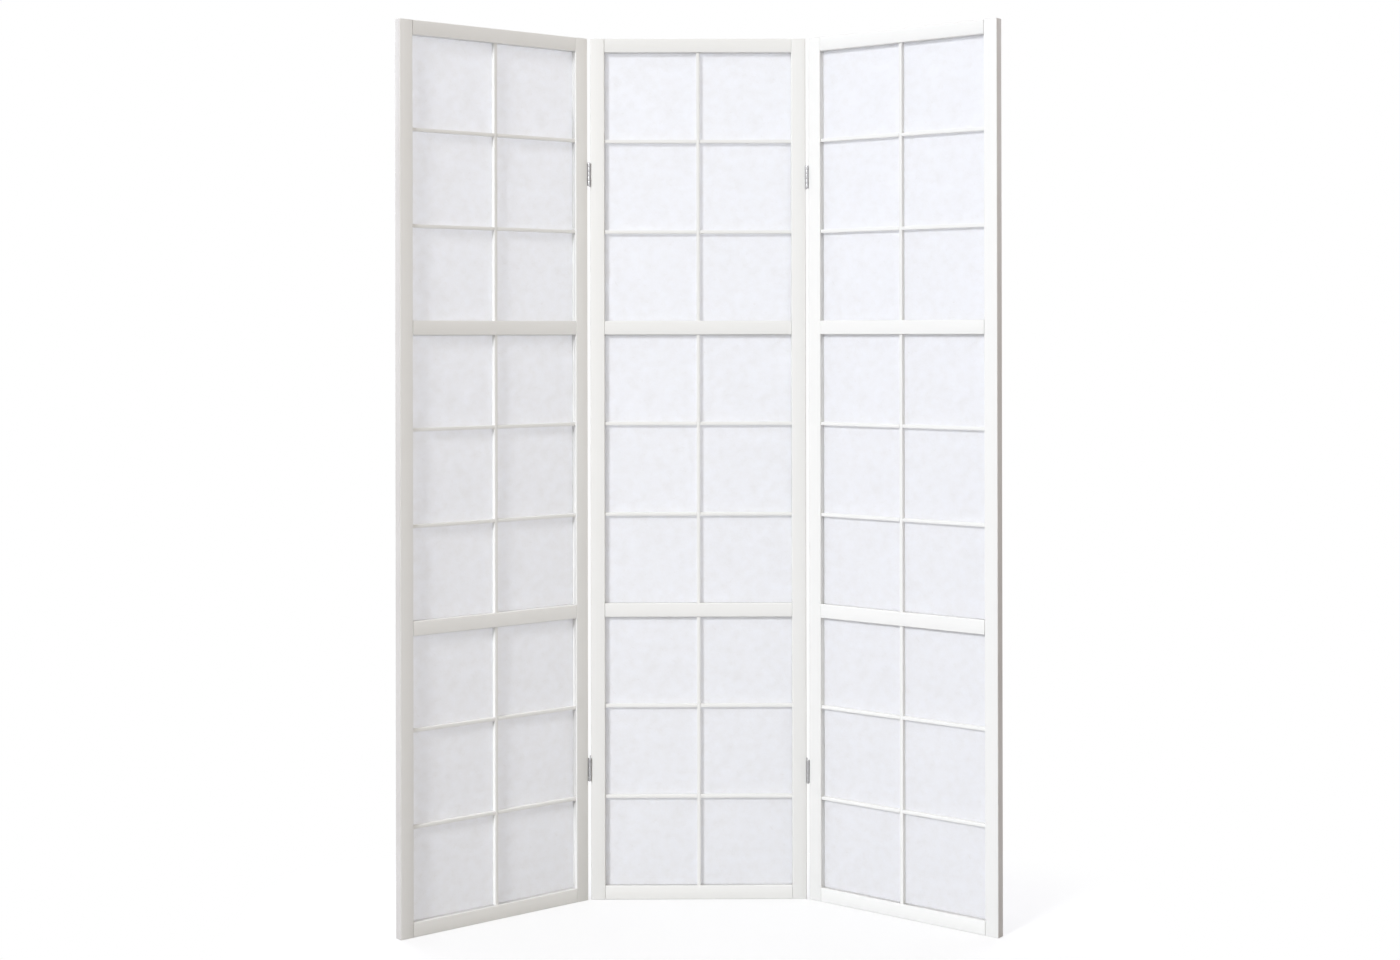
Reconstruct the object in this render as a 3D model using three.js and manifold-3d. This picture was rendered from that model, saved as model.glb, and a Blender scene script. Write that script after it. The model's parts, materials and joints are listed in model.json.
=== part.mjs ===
// A three-panel shoji folding screen: white painted frames, a stick lattice with paper behind it
// in each window, and two-way hinges that let each wing fold forward and back.
// Millimetres, +Z up. The front faces -Y. The origin is on the floor, under the middle of the
// centre panel's bottom rail. The wings stand folded forward, as a screen is set up in use.

import * as THREE from "three";
import { mergeVertices } from "three/addons/utils/BufferGeometryUtils.js";
import Module from "manifold-3d";

const wasm = await Module();
wasm.setup();

// ---- Panels ----
const panelHeight = 1790;
const panelWidth = 448;
const frameThickness = 19;
const stileWidth = 29.5;
const railHeight = 28.5;
const easedEdge = 1;
const windowNames = ["upper", "middle", "lower"];
const railNames = ["top", "upper_mid", "lower_mid", "bottom"]; // one more than the windows

// ---- Lattice sticks: two cross sticks in each window and one upright through all of them ----
const stickFace = 7;
const stickDepth = 9.5;
const stickSetback = 3.5; // from the frame's front to the sticks' front
const crossSticksPerWindow = 2;
const lapDepth = 4.5; // cut from the back of the upright where a cross stick passes

// ---- Paper ----
const paperThickness = 0.5;
const paperInGroove = 3; // how far the paper's edge reaches into the frame

// ---- Joinery ----
const fit = 0.3; // clearance wherever one piece enters another or lies on it
const railTenonLength = 14;
const railTenonHeight = 17;
const railTenonThickness = 6;
const stickTenonLength = 5;

// ---- Hinges ----
const hingeHeight = 48;
const upperHingeFromTop = 282; // from the panel's end to the middle of the hinge, left joint
const lowerHingeFromBottom = 271;
const rightHingeDrop = 6; // the right joint's hinges sit a little lower
const plateThickness = 1;
const leafInset = 0.8; // the leaf's plate stays this far inside the stile's faces
const barrelRadius = 2.5;
const pinRadius = 1.4;
const pinClearance = 0.08;
const pinHeadHeight = 0.6;
const knuckleCount = 5;
const knuckleGap = 0.4;
const barrelStandoff = 0.2; // between the barrel and the face of the panel
const screwHoleRadius = 1.6;
const screwSpacing = 17;
const roundSides = 12;
const screwHoleSides = 8;

// ---- Pose ----
const leftFold = THREE.MathUtils.degToRad(38.5); // how far each wing stands forward
const rightFold = THREE.MathUtils.degToRad(38.5);

// ---- Worked out from the sizes above ----
const halfWidth = panelWidth / 2;
const faceY = frameThickness / 2;
const windowHeight = (panelHeight - railNames.length * railHeight) / windowNames.length;
const paneHeight = (windowHeight - crossSticksPerWindow * stickFace) / (crossSticksPerWindow + 1);
const windowPitch = windowHeight + railHeight;
const openingHalfWidth = halfWidth - stileWidth;
const stickFrontY = -faceY + stickSetback;
const stickBackY = stickFrontY + stickDepth;
const paperFrontY = stickBackY + fit;
const paperBackY = paperFrontY + paperThickness;
const leafSpacing = plateThickness + fit; // from one hinge plate to the next
const panelGap = 2 * leafSpacing + plateThickness + 2 * fit; // between stiles, screen opened flat
const pinOffsetX = leafSpacing / 2;
const pinY = faceY + barrelStandoff + barrelRadius;
const jointX = halfWidth + panelGap / 2;
const knuckleLength = (hingeHeight - (knuckleCount - 1) * knuckleGap) / knuckleCount;
const hingeHeights = { upper: panelHeight - upperHingeFromTop, lower: lowerHingeFromBottom };

const paintedWood = { color: 0xefece6, roughness: 0.5, metalness: 0 };
const shojiPaper = { color: 0xf1f3f5, roughness: 0.9, metalness: 0 };
const hingeSteel = { color: 0x8c8d90, roughness: 0.35, metalness: 1 };

// ---- Solids ----

function toSolid(geometry) {
  const bare = geometry.clone();
  bare.deleteAttribute("normal");
  bare.deleteAttribute("uv");
  const welded = mergeVertices(bare, 1e-5);
  return new wasm.Manifold(
    new wasm.Mesh({
      numProp: 3,
      vertProperties: new Float32Array(welded.attributes.position.array),
      triVerts: new Uint32Array(welded.index.array),
    }),
  );
}

function toMesh(name, solid, look) {
  const { vertProperties, triVerts } = solid.getMesh();
  const geometry = new THREE.BufferGeometry();
  geometry.setAttribute("position", new THREE.BufferAttribute(vertProperties, 3));
  geometry.setIndex(new THREE.BufferAttribute(triVerts, 1));
  geometry.computeVertexNormals();
  const mesh = new THREE.Mesh(geometry, new THREE.MeshStandardMaterial(look));
  mesh.name = name;
  return mesh;
}

function block([x0, x1], [y0, y1], [z0, z1]) {
  const geometry = new THREE.BoxGeometry(Math.abs(x1 - x0), y1 - y0, z1 - z0);
  geometry.translate((x0 + x1) / 2, (y0 + y1) / 2, (z0 + z1) / 2);
  return toSolid(geometry);
}

// A bar along Z with its four long edges taken off.
function easedBar(width, thickness, length) {
  const x = width / 2;
  const y = thickness / 2;
  const flatX = x - easedEdge;
  const flatY = y - easedEdge;
  const section = new THREE.Shape([
    new THREE.Vector2(flatX, -y),
    new THREE.Vector2(x, -flatY),
    new THREE.Vector2(x, flatY),
    new THREE.Vector2(flatX, y),
    new THREE.Vector2(-flatX, y),
    new THREE.Vector2(-x, flatY),
    new THREE.Vector2(-x, -flatY),
    new THREE.Vector2(-flatX, -y),
  ]);
  return new THREE.ExtrudeGeometry(section, { depth: length, bevelEnabled: false });
}

function uprightBar(x, y, [z0, z1], radius) {
  const geometry = new THREE.CylinderGeometry(radius, radius, z1 - z0, roundSides);
  geometry.rotateX(Math.PI / 2);
  geometry.translate(x, y, (z0 + z1) / 2);
  return toSolid(geometry);
}

const joined = (solids) => solids.reduce((whole, solid) => whole.add(solid));
const cutBy = (solid, tools) => solid.subtract(joined(tools));

// The two ends of a size about its middle, with a clearance past each.
function around(middle, size, clearance = 0) {
  const reach = size / 2 + clearance;
  return [middle - reach, middle + reach];
}

// ---- Heights shared by every panel ----

// Rail, window and cross stick 0 are the topmost.
const railMiddles = railNames.map((_, i) => panelHeight - railHeight / 2 - i * windowPitch);
const windowTops = windowNames.map((_, i) => railMiddles[i] - railHeight / 2);
const stickNumbers = [...Array(crossSticksPerWindow).keys()];

function crossStickMiddle(windowIndex, stickIndex) {
  const paperAbove = (stickIndex + 1) * paneHeight;
  const sticksAbove = (stickIndex + 0.5) * stickFace;
  return windowTops[windowIndex] - paperAbove - sticksAbove;
}

const crossStickMiddles = windowNames.flatMap((_, w) => stickNumbers.map((s) => crossStickMiddle(w, s)));

// ---- Panel pieces, in the panel's own frame ----

const stickY = [stickFrontY, stickBackY];
const stickSocketY = [stickFrontY - fit, stickBackY + fit];
const grooveY = [paperFrontY - fit, paperBackY + fit];
const grooveDepth = paperInGroove + fit;

// side is -1 for the stile on the viewer's left and 1 for the one on the right.
function stile(side) {
  const bar = easedBar(stileWidth, frameThickness, panelHeight);
  bar.translate(side * (halfWidth - stileWidth / 2), 0, 0);
  const innerX = side * openingHalfWidth;
  const intoStile = (depth) => [innerX - side * fit, innerX + side * (depth + fit)];
  const mortises = railMiddles.map((z) =>
    block(intoStile(railTenonLength), around(0, railTenonThickness, fit), around(z, railTenonHeight, fit)),
  );
  const sockets = crossStickMiddles.map((z) =>
    block(intoStile(stickTenonLength), stickSocketY, around(z, stickFace, fit)),
  );
  const grooves = windowTops.map((top) =>
    block(intoStile(paperInGroove), grooveY, [top - windowHeight - grooveDepth, top + grooveDepth]),
  );
  return cutBy(toSolid(bar), [...mortises, ...sockets, ...grooves]);
}

// The rail's shoulders meet the stiles. The top and bottom rails take the end of the upright
// stick in a socket, and the mid rails let it through.
function rail(index) {
  const z = railMiddles[index];
  const length = 2 * (openingHalfWidth - fit);
  const bar = easedBar(railHeight, frameThickness, length);
  bar.rotateY(Math.PI / 2);
  bar.translate(-length / 2, 0, z);
  const tenonX = around(0, 2 * (openingHalfWidth + railTenonLength));
  const tenon = block(tenonX, around(0, railTenonThickness), around(z, railTenonHeight));
  const [lower, upper] = around(z, railHeight);
  const windowAbove = index > 0;
  const windowBelow = index < windowNames.length;
  const socketDepth = stickTenonLength + fit;
  const socketBottom = windowBelow ? lower - fit : upper - socketDepth;
  const socketTop = windowAbove ? upper + fit : lower + socketDepth;
  const cuts = [block(around(0, stickFace, fit), stickSocketY, [socketBottom, socketTop])];
  if (windowAbove) {
    cuts.push(block([-halfWidth, halfWidth], grooveY, [upper - grooveDepth, upper + fit]));
  }
  if (windowBelow) {
    cuts.push(block([-halfWidth, halfWidth], grooveY, [lower - fit, lower + grooveDepth]));
  }
  return cutBy(toSolid(bar).add(tenon), cuts);
}

function uprightStick() {
  const bottom = windowTops.at(-1) - windowHeight - stickTenonLength;
  const top = windowTops[0] + stickTenonLength;
  const stick = block(around(0, stickFace), stickY, [bottom, top]);
  const lapY = [stickBackY - lapDepth, stickBackY + fit];
  const laps = crossStickMiddles.map((z) =>
    block(around(0, stickFace, fit), lapY, around(z, stickFace, fit)),
  );
  return cutBy(stick, laps);
}

function crossStick(z) {
  const stick = block(around(0, 2 * (openingHalfWidth + stickTenonLength)), stickY, around(z, stickFace));
  const lapY = [stickFrontY - fit, stickBackY - lapDepth + fit];
  return cutBy(stick, [block(around(0, stickFace, fit), lapY, around(z, stickFace, fit))]);
}

function paperSheet(windowIndex) {
  const top = windowTops[windowIndex];
  const sheetX = around(0, 2 * (openingHalfWidth + paperInGroove));
  const sheetZ = [top - windowHeight - paperInGroove, top + paperInGroove];
  return block(sheetX, [paperFrontY, paperBackY], sheetZ);
}

function panel(name, [leftStile, rightStile]) {
  const group = new THREE.Group();
  group.add(toMesh(`${name}_${leftStile}_stile`, stile(-1), paintedWood));
  group.add(toMesh(`${name}_${rightStile}_stile`, stile(1), paintedWood));
  for (const [index, place] of railNames.entries()) {
    group.add(toMesh(`${name}_${place}_rail`, rail(index), paintedWood));
  }
  group.add(toMesh(`${name}_upright_stick`, uprightStick(), paintedWood));
  for (const [w, place] of windowNames.entries()) {
    for (const s of stickNumbers) {
      const stickName = `${name}_${place}_cross_stick_${s + 1}`;
      group.add(toMesh(stickName, crossStick(crossStickMiddle(w, s)), paintedWood));
    }
    group.add(toMesh(`${name}_${place}_paper`, paperSheet(w), shojiPaper));
  }
  return group;
}

// ---- Hinge pieces, about the middle of the gap between two flat panels ----
// side is -1 where the wing is on the left and 1 where it is on the right.

// Knuckles stand one above the other round each pin: the leaf has the even ones, with both ends,
// and the link the odd ones between them.
const knuckles = Array.from({ length: knuckleCount }, (_, index) => {
  const low = -hingeHeight / 2 + index * (knuckleLength + knuckleGap);
  return [low, low + knuckleLength];
});
const leafKnuckles = knuckles.filter((_, index) => index % 2 === 0);
const linkKnuckles = knuckles.filter((_, index) => index % 2 === 1);
const hingeZ = around(0, hingeHeight);
const pinZ = around(0, hingeHeight, pinHeadHeight);

// A screw hole along X, longer than the plate is thick.
function screwHole(plateX, z) {
  const length = 4 * plateThickness;
  const hole = new THREE.CylinderGeometry(screwHoleRadius, screwHoleRadius, length, screwHoleSides);
  hole.rotateZ(Math.PI / 2);
  hole.translate(plateX, 0, z);
  return toSolid(hole);
}

// A leaf: a plate on the stile's edge, with knuckles round the pin at pinX, facing front or back.
// toward is -1 for the front barrel and 1 for the rear one.
function leaf(plateX, pinX, toward) {
  const plateY = around(0, frameThickness - 2 * leafInset);
  const barrelY = toward * pinY;
  const plate = block(around(plateX, plateThickness), plateY, hingeZ);
  const barrels = leafKnuckles.map((z) => uprightBar(pinX, barrelY, z, barrelRadius));
  const tongueY = [Math.min(0, barrelY), Math.max(0, barrelY)];
  const tongues = leafKnuckles.map((z) => block(around(plateX, plateThickness), tongueY, z));
  // The bore's flat sides stay the clearance away from the pin's corners.
  const boreRadius = (pinRadius + pinClearance) / Math.cos(Math.PI / roundSides);
  const bore = uprightBar(pinX, barrelY, pinZ, boreRadius);
  const holes = [-screwSpacing, 0, screwSpacing].map((z) => screwHole(plateX, z));
  return cutBy(joined([plate, ...tongues, ...barrels]), [bore, ...holes]);
}

const outerLeaf = (side) => leaf(side * leafSpacing, side * pinOffsetX, -1);
const innerLeaf = (side) => leaf(-side * leafSpacing, -side * pinOffsetX, 1);

// The link: a plate through the gap, with both pins fixed in its knuckles.
function hingeLink(side) {
  const clearOfLeafKnuckles = pinY - barrelRadius - knuckleGap;
  const plate = block(around(0, plateThickness), around(0, 2 * clearOfLeafKnuckles), hingeZ);
  const tongues = linkKnuckles.map((z) => block(around(0, plateThickness), around(0, 2 * pinY), z));
  const barrels = [-1, 1].flatMap((toward) => {
    const x = -toward * side * pinOffsetX;
    const y = toward * pinY;
    const pin = uprightBar(x, y, pinZ, pinRadius);
    return [pin, ...linkKnuckles.map((z) => uprightBar(x, y, z, barrelRadius))];
  });
  return joined([plate, ...tongues, ...barrels]);
}

function hingePiece(name, solid, side, height) {
  const mesh = toMesh(name, solid, hingeSteel);
  mesh.position.set(side * jointX, 0, height);
  return mesh;
}

// ---- The screen ----

const screen = new THREE.Group();
screen.add(panel("centre", ["left", "right"]));

const joints = [
  { side: -1, place: "left", fold: leftFold, drop: 0, stiles: ["outer", "inner"] },
  { side: 1, place: "right", fold: -rightFold, drop: rightHingeDrop, stiles: ["inner", "outer"] },
];

for (const { side, place, fold, drop, stiles } of joints) {
  // The wing turns about the front pins of its two hinges.
  const frontPinX = side * (jointX + pinOffsetX);
  const turning = new THREE.Group();
  turning.position.set(frontPinX, -pinY, 0);
  turning.rotation.z = fold;
  const wing = new THREE.Group();
  wing.position.set(-frontPinX, pinY, 0);
  turning.add(wing);
  screen.add(turning);

  const wingPanel = panel(`${place}_wing`, stiles);
  wingPanel.position.x = side * (panelWidth + panelGap);
  wing.add(wingPanel);

  for (const [level, leftHeight] of Object.entries(hingeHeights)) {
    const hinge = `${place}_${level}_hinge`;
    const height = leftHeight - drop;
    wing.add(hingePiece(`${hinge}_outer_leaf`, outerLeaf(side), side, height));
    screen.add(hingePiece(`${hinge}_link`, hingeLink(side), side, height));
    screen.add(hingePiece(`${hinge}_inner_leaf`, innerLeaf(side), side, height));
  }
}

export default screen;
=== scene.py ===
# %% [markdown]
# # A three-panel shoji screen
# A folding screen is a light thing: three pine frames painted white, thin lattice sticks, and
# paper that lets some two fifths of the light through. It is nearly all pale, so what makes it
# look real is small: rounded edges that catch the light, fine seams where rails meet stiles,
# paint with a trace of brush and grain, and paper that glows from behind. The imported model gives
# the frame of reference, and every piece made here takes its place from it.

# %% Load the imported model
import json
from math import degrees, pi, radians, sin

import bmesh
import bpy
from mathutils import Matrix, Vector, noise


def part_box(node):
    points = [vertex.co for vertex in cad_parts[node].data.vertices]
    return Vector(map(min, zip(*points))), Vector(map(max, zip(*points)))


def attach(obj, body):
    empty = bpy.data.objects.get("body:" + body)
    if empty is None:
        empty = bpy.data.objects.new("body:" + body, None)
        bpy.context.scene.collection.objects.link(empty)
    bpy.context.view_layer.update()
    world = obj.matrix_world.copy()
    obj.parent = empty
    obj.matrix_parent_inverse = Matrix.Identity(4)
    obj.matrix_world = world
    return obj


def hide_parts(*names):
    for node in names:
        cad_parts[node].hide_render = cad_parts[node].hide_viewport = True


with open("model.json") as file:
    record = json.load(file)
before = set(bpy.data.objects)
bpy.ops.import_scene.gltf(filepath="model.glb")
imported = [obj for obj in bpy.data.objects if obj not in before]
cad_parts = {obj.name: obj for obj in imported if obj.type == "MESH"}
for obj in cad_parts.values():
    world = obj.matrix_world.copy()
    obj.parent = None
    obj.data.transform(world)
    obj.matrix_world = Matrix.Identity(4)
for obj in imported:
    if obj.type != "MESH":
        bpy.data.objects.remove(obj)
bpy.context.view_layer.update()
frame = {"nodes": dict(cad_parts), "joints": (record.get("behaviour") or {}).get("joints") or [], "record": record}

MM = 0.001
bodies = frame["record"]["behaviour"]["bodies"]
joints = {joint["name"]: joint for joint in frame["joints"]}
PANELS = {"centre": "centre_panel", "left_wing": "left_wing", "right_wing": "right_wing"}
print("bodies:", {body: len(nodes) for body, nodes in bodies.items()})

# %% [markdown]
# ## The camera
# The screen was photographed square on from a little over 4 m, with the lens level and shifted
# down, as a view camera does it: all uprights stay upright. Pitch alone would make them lean
# towards each other. So the camera is level, and the shift does the framing.

# %% Camera
bpy.ops.object.camera_add(
    location=(-0.0218, -4.2502, 1.1791),
    rotation=(radians(90.09), radians(0.095), radians(-0.347)),
)
camera = bpy.context.object
camera.name = "camera"
camera.data.lens = 52.42
camera.data.shift_y = -0.1078
bpy.context.scene.camera = camera
bpy.context.scene.view_settings.view_transform = "Standard"
print("camera at", [round(v, 3) for v in camera.location])

# %% [markdown]
# ## Floor and backdrop
# The floor is a plain pale sheet that keeps the soft shadow along the bottom rails. Away from
# the screen it fades into the white of the backdrop, so no horizon shows. The backdrop is the
# world itself: rays from the camera and mirror-like rays meet plain white. Rays that light the
# screen meet a studio drawn as a band of greys round the horizon, with a pale ceiling: bright
# paper walls behind and on the left, a warm reflector in front at the right, and a dim room
# elsewhere. An even white world would light all sides alike, and a white object would lose its
# shape.

# %% Helpers for node trees
def new_material(name):
    """An empty node material, with its nodes and its links."""
    material = bpy.data.materials.new(name)
    material.use_nodes = True
    material.node_tree.nodes.clear()
    return material, material.node_tree.nodes, material.node_tree.links


def node(nodes, kind, values=None, **settings):
    """A new shader node with its settings and the values of its input sockets."""
    made = nodes.new("ShaderNode" + kind)
    for setting, value in settings.items():
        setattr(made, setting, value)
    for socket, value in (values or {}).items():
        made.inputs[socket].default_value = value
    return made


# %% World
# Degrees round the horizon: 0 is to the screen's right, 90 behind it and -90 in front of it.
ROOM = {
    -180: (0.78, 0.80, 0.84),
    -135: (0.26, 0.27, 0.25),
    -90: (0.05, 0.05, 0.05),
    -60: (0.42, 0.40, 0.25),
    -30: (1.32, 1.20, 1.05),
    0: (0.33, 0.28, 0.32),
    30: (0.14, 0.13, 0.18),
    60: (0.74, 0.75, 0.81),
    120: (0.74, 0.75, 0.81),
    150: (0.97, 0.96, 0.96),
}
OVERHEAD = (0.66, 0.63, 0.65)
OVERHEAD_STARTS, OVERHEAD_FULL = 0.5, 0.9
world = bpy.data.worlds.new("studio")
bpy.context.scene.world = world
world.use_nodes = True
nodes, links = world.node_tree.nodes, world.node_tree.links
nodes.clear()
heading = node(nodes, "TexCoord")
parts = node(nodes, "SeparateXYZ")
compass = node(nodes, "Math", operation="ARCTAN2")
turn = node(nodes, "MapRange", {"From Min": -pi, "From Max": pi})
around = node(nodes, "ValToRGB")
stops = around.color_ramp.elements
stops.remove(stops[1])
stops[0].position = 0
for number, bearing in enumerate([*ROOM, 180]):
    stop = stops.new((bearing + 180) / 360) if number else stops[0]
    stop.color = (*ROOM.get(bearing, ROOM[-180]), 1)
upward = node(nodes, "MapRange", {"From Min": OVERHEAD_STARTS, "From Max": OVERHEAD_FULL},
              interpolation_type="SMOOTHSTEP")
light = node(nodes, "Mix", data_type="RGBA")
light.inputs["B"].default_value = (*OVERHEAD, 1)
path = node(nodes, "LightPath")
direct = node(nodes, "Math", operation="MAXIMUM")
room = node(nodes, "Background", {"Strength": 1})
white = node(nodes, "Background", {"Color": (1, 1, 1, 1), "Strength": 1})
either = node(nodes, "MixShader")
links.new(heading.outputs["Generated"], parts.inputs[0])
links.new(parts.outputs["Y"], compass.inputs[0])
links.new(parts.outputs["X"], compass.inputs[1])
links.new(compass.outputs[0], turn.inputs["Value"])
links.new(turn.outputs["Result"], around.inputs["Fac"])
links.new(parts.outputs["Z"], upward.inputs["Value"])
links.new(upward.outputs["Result"], light.inputs["Factor"])
links.new(around.outputs["Color"], light.inputs["A"])
links.new(light.outputs["Result"], room.inputs["Color"])
links.new(path.outputs["Is Camera Ray"], direct.inputs[0])
links.new(path.outputs["Is Glossy Ray"], direct.inputs[1])
links.new(direct.outputs[0], either.inputs["Fac"])
links.new(room.outputs[0], either.inputs[1])
links.new(white.outputs[0], either.inputs[2])
links.new(either.outputs[0], node(nodes, "OutputWorld").inputs["Surface"])
print("world:", len(ROOM), "stops round the horizon")

# %% Floor
FLOOR_SIZE, FLOOR_DROP = 16, 0.0004
# What the camera sees, and the greyer floor that throws light up at the screen.
FLOOR_SEEN = (0.98, 0.98, 0.98, 1)
FLOOR_BOUNCE = (0.55, 0.55, 0.55, 1)
# The corners that the screen stands between, the share of white there, and how far out it fades.
FOOTPRINT = ((-0.60, -0.31), (0.60, 0.02))
WHITE_SHARE = 0.62
FADE_TO = 0.35
bpy.ops.mesh.primitive_plane_add(size=FLOOR_SIZE, location=(0, 0, -FLOOR_DROP))
floor = bpy.context.object
floor.name = "floor"
material, nodes, links = new_material("floor_white")
place = node(nodes, "TexCoord")
middle = node(nodes, "VectorMath", operation="SUBTRACT")
middle.inputs[1].default_value = [(low + high) / 2 for low, high in zip(*FOOTPRINT)] + [0]
mirrored = node(nodes, "VectorMath", operation="ABSOLUTE")
outside = node(nodes, "VectorMath", operation="SUBTRACT")
outside.inputs[1].default_value = [(high - low) / 2 for low, high in zip(*FOOTPRINT)] + [0]
beyond = node(nodes, "VectorMath", operation="MAXIMUM")
beyond.inputs[1].default_value = (0, 0, 0)
distance = node(nodes, "VectorMath", operation="LENGTH")
fade = node(nodes, "MapRange", {"From Min": 0, "From Max": FADE_TO, "To Min": WHITE_SHARE, "To Max": 1},
            interpolation_type="SMOOTHSTEP")
path = node(nodes, "LightPath")
seen_white = node(nodes, "Math", operation="MULTIPLY")
shade = node(nodes, "Mix", data_type="RGBA")
shade.inputs["A"].default_value = FLOOR_BOUNCE
shade.inputs["B"].default_value = FLOOR_SEEN
ground = node(nodes, "BsdfDiffuse")
glow = node(nodes, "Emission", {"Color": (1, 1, 1, 1), "Strength": 1})
either = node(nodes, "MixShader")
links.new(place.outputs["Object"], middle.inputs[0])
links.new(middle.outputs[0], mirrored.inputs[0])
links.new(mirrored.outputs[0], outside.inputs[0])
links.new(outside.outputs[0], beyond.inputs[0])
links.new(beyond.outputs[0], distance.inputs[0])
links.new(distance.outputs["Value"], fade.inputs["Value"])
links.new(fade.outputs["Result"], seen_white.inputs[0])
links.new(path.outputs["Is Camera Ray"], seen_white.inputs[1])
links.new(path.outputs["Is Camera Ray"], shade.inputs["Factor"])
links.new(shade.outputs["Result"], ground.inputs["Color"])
links.new(seen_white.outputs[0], either.inputs["Fac"])
links.new(ground.outputs[0], either.inputs[1])
links.new(glow.outputs[0], either.inputs[2])
links.new(either.outputs[0], node(nodes, "OutputMaterial").inputs["Surface"])
floor.data.materials.append(material)
print("floor:", FLOOR_SIZE, "m wide, white from", FADE_TO, "m off the screen")

# %% [markdown]
# ## Light
# The shadows of the stiles and rails on the paper say where the main light stood: to the left,
# in front, and a little above. Their soft rims say how large it looked, about 12 degrees across.
# It stood so far away that it lit both ends of the screen alike, so a sun lamp of that angle does
# it. Two soft boxes behind the wings make their paper glow as it does in the middle. They stand
# above head height, because in the photographed screen that glow falls off towards the floor.

# %% Lamps
def lamp(kind, name, place, aim, colour, **settings):
    """A lamp at one point that faces another, and that the camera doesn't see."""
    bpy.ops.object.light_add(type=kind, location=place)
    made = bpy.context.object
    made.name = name
    made.data.color = colour
    for setting, value in settings.items():
        setattr(made.data, setting, value)
    made.rotation_euler = (Vector(aim) - Vector(place)).to_track_quat("-Z", "Y").to_euler()
    made.visible_camera = False


MIDDLE = Vector((0, 0, 1.0))
KEY_TOWARDS = Vector((-0.75, -1.0, 0.62))
KEY_TINT = (0.96, 0.985, 1.03)
KEY_STRENGTH, KEY_ANGLE = 2.25, radians(12)
SIDES = {"left": -1, "right": 1}
# The right-hand soft box: where it stands and what it faces. The other one mirrors it.
SOFT_BOX_PLACE, SOFT_BOX_AIM = (1.5, 1.2, 2.0), (0.4, -0.14, 1.2)
SOFT_BOX_TINT = (0.94, 0.985, 1.12)
SOFT_BOX_WATTS = {"left": 17.5, "right": 15.0}
SOFT_BOX_SIZE = 1.0
lamp("SUN", "key", MIDDLE + 5 * KEY_TOWARDS, MIDDLE, KEY_TINT, energy=KEY_STRENGTH, angle=KEY_ANGLE)
for side, sign in SIDES.items():
    place, aim = ((sign * x, y, z) for x, y, z in (SOFT_BOX_PLACE, SOFT_BOX_AIM))
    lamp("AREA", "back_" + side, place, aim, SOFT_BOX_TINT, energy=SOFT_BOX_WATTS[side], size=SOFT_BOX_SIZE)

# %% [markdown]
# ## Where the panels stand
# All three panels are alike, so a new sheet or texture is made at the centre panel and then moved.
# A wing is the centre panel shifted by one panel width and one gap, and then turned about its
# front hinge pin by the angle that the joint has left before the screen is flat.

# %% Panel places
PANEL_PITCH = 452.2 * MM


def fold(side):
    """How far a wing is turned at rest: the lower end of its front pin's range is the flat screen."""
    joint = joints[side + "_front_pin"]
    return radians(-joint["range_deg"][0]) * joint["axis"][2]


def wing_turn(side):
    """The turn about the front pin that takes a wing from the flat screen to where it rests."""
    pin = Matrix.Translation(joints[side + "_front_pin"]["pos_m"])
    return pin @ Matrix.Rotation(fold(side), 4, "Z") @ pin.inverted()


turns = {"centre": 0.0, "left_wing": fold("left"), "right_wing": fold("right")}
places = {"centre": Matrix()}
for side, sign in SIDES.items():
    places[side + "_wing"] = wing_turn(side) @ Matrix.Translation((sign * PANEL_PITCH, 0, 0))
print("wings turned by", {panel: round(degrees(turn), 1) for panel, turn in turns.items()})


def copy_to(model, name, place):
    """A copy of a modelled piece with a mesh of its own, taken to its place in the mesh."""
    piece = bpy.data.objects.new(name, model.data.copy())
    bpy.context.scene.collection.objects.link(piece)
    piece.data.transform(place)
    if place.determinant() < 0:
        piece.data.flip_normals()
    return piece

# %% [markdown]
# ## Frame pieces: rounded like planed and painted wood
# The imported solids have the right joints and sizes, with crisp edges. On the real frame no edge
# is crisp: the arrises are rubbed down before painting, and two coats of paint round them again.
# Those thin bright or dark lines along the edges are most of what tells wood from card. Each
# piece is therefore a copy of its solid, merged into one skin, with its long edges rounded by the
# bevel operator. A bevel on everything would also soften the joints, which are cut square.

# %% Helpers for modelling
SMOOTH_BELOW = radians(35)


def only(piece):
    """Selects one object and nothing else, since an operator acts on all that is selected."""
    bpy.ops.object.select_all(action="DESELECT")
    piece.select_set(True)
    bpy.context.view_layer.objects.active = piece


def merged_copy(node_name, name):
    """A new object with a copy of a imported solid's mesh, its loose triangles merged."""
    piece = bpy.data.objects.new(name, frame["nodes"][node_name].data.copy())
    bpy.context.scene.collection.objects.link(piece)
    piece.data.materials.clear()
    only(piece)
    bpy.ops.object.mode_set(mode="EDIT")
    bpy.ops.mesh.select_all(action="SELECT")
    bpy.ops.mesh.remove_doubles(threshold=0.01 * MM)
    bpy.ops.mesh.dissolve_limited(angle_limit=radians(0.5))
    bpy.ops.object.mode_set(mode="OBJECT")
    return piece


def bevel_where(piece, wanted, width, segments, clamp=False):
    """Bevels the edges that wanted picks, and says how many they were."""
    only(piece)
    bpy.ops.object.mode_set(mode="EDIT")
    bpy.ops.mesh.select_mode(type="EDGE")
    bpy.ops.mesh.select_all(action="DESELECT")
    shape = bmesh.from_edit_mesh(piece.data)
    for edge in shape.edges:
        edge.select = bool(wanted(edge))
    chosen = sum(edge.select for edge in shape.edges)
    bmesh.update_edit_mesh(piece.data)
    bpy.ops.mesh.bevel(offset=width, segments=segments, affect="EDGES", clamp_overlap=clamp)
    bpy.ops.object.mode_set(mode="OBJECT")
    return chosen


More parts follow.
